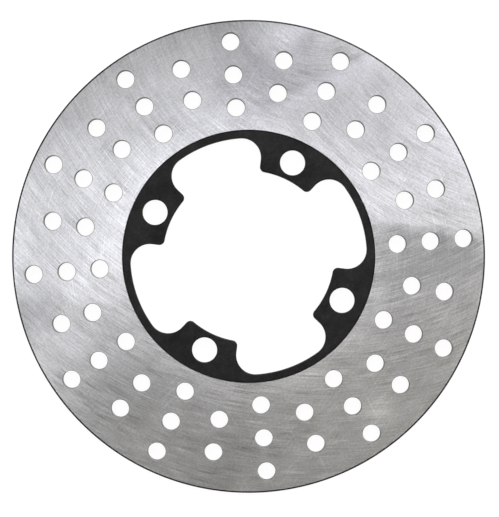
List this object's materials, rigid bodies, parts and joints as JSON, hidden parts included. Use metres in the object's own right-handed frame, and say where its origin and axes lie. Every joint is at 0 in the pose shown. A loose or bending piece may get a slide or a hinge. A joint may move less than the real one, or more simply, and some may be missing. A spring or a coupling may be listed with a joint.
{
  "type": "brake disc rotor",
  "caption": "Flat motorcycle brake disc: a ground, drilled friction ring around a black lugged carrier with mounting holes.",
  "frame": {"origin": "on the wheel axis, in the plane of the friction ring's back face", "axes": "+Z along the wheel axis, out of the front face; +X through the centre of the first mounting hole"},
  "size_m": [0.16, 0.16, 0.0035],
  "materials": {
    "ground_steel": "surface ground, with long arc-shaped grinding marks; vent hole walls bare, outside edge dark",
    "black_coat": "smooth satin black coat"
  },
  "bodies": {
    "root": {"friction_ring": "ground_steel", "mounting_carrier": "black_coat"}
  },
  "joints": []
}
